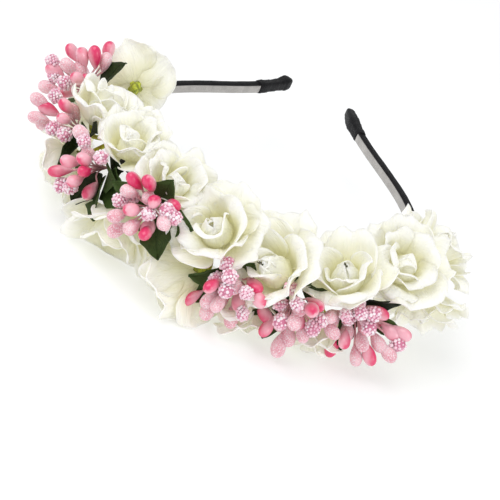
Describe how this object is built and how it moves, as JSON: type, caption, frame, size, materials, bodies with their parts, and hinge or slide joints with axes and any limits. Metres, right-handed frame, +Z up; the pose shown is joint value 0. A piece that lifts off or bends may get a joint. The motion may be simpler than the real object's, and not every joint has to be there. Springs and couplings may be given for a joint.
{
  "type": "flower crown",
  "caption": "Sprung hair hoop wrapped in black satin ribbon, its front hidden by white fabric roses, pink berry bunches and green leaves; both arms flex open.",
  "frame": {"origin": "centre of the base of the whole crown, on the level that it rests on", "axes": "+Z up, square to the hoop's plane; +Y from the decorated front towards the two arm tips; +X to the right arm"},
  "size_m": [0.165, 0.1754, 0.0474],
  "materials": {
    "spring_steel": "satin",
    "black_satin": "satin",
    "grey_felt": "matt",
    "ivory_petal": "matt",
    "calyx_green": "matt",
    "berry_pink": "gloss",
    "leaf_green": "matt"
  },
  "bodies": {
    "crown": {"crown_spring_strip": "spring_steel", "crown_ribbon": "black_satin", "crown_lining": "grey_felt", "rose_01_petals": "ivory_petal", "rose_01_calyx": "calyx_green", "rose_02_petals": "ivory_petal", "rose_02_calyx": "calyx_green", "rose_03_petals": "ivory_petal", "rose_03_calyx": "calyx_green", "rose_04_petals": "ivory_petal", "rose_04_calyx": "calyx_green", "rose_05_petals": "ivory_petal", "rose_05_calyx": "calyx_green", "rose_06_petals": "ivory_petal", "rose_06_calyx": "calyx_green", "rose_07_petals": "ivory_petal", "rose_07_calyx": "calyx_green", "rose_08_petals": "ivory_petal", "rose_08_calyx": "calyx_green", "rose_09_petals": "ivory_petal", "rose_09_calyx": "calyx_green", "rose_10_petals": "ivory_petal", "rose_10_calyx": "calyx_green", "rose_11_petals": "ivory_petal", "rose_11_calyx": "calyx_green", "rose_12_petals": "ivory_petal", "rose_12_calyx": "calyx_green", "rose_13_petals": "ivory_petal", "rose_13_calyx": "calyx_green", "rose_14_petals": "ivory_petal", "rose_14_calyx": "calyx_green", "rose_15_petals": "ivory_petal", "rose_15_calyx": "calyx_green", "rose_16_petals": "ivory_petal", "rose_16_calyx": "calyx_green", "rose_17_petals": "ivory_petal", "rose_17_calyx": "calyx_green", "bunch_1_berries": "berry_pink", "bunch_1_leaves": "leaf_green", "bunch_2_berries": "berry_pink", "bunch_2_leaves": "leaf_green", "bunch_3_berries": "berry_pink", "bunch_3_leaves": "leaf_green", "bunch_4_berries": "berry_pink", "bunch_4_leaves": "leaf_green", "bunch_5_berries": "berry_pink", "bunch_5_leaves": "leaf_green", "bunch_6_berries": "berry_pink", "bunch_6_leaves": "leaf_green", "bunch_7_berries": "berry_pink", "bunch_7_leaves": "leaf_green"},
    "left_arm": {"left_arm_spring_strip": "spring_steel", "left_arm_ribbon": "black_satin", "left_arm_lining": "grey_felt", "left_arm_tip_wrap": "black_satin"},
    "right_arm": {"right_arm_spring_strip": "spring_steel", "right_arm_ribbon": "black_satin", "right_arm_lining": "grey_felt", "right_arm_tip_wrap": "black_satin"}
  },
  "joints": [
    {"name": "left_arm_flex", "type": "hinge", "parent": "crown", "child": "left_arm", "pos_m": [-0.0519, 0.02132, 0.024], "axis": [0, 0, 1], "range_deg": [0, 25], "stiffness_Nm_per_rad": 0.15},
    {"name": "right_arm_flex", "type": "hinge", "parent": "crown", "child": "right_arm", "pos_m": [0.05422, 0.02132, 0.024], "axis": [0, 0, -1], "range_deg": [0, 25], "stiffness_Nm_per_rad": 0.15}
  ]
}
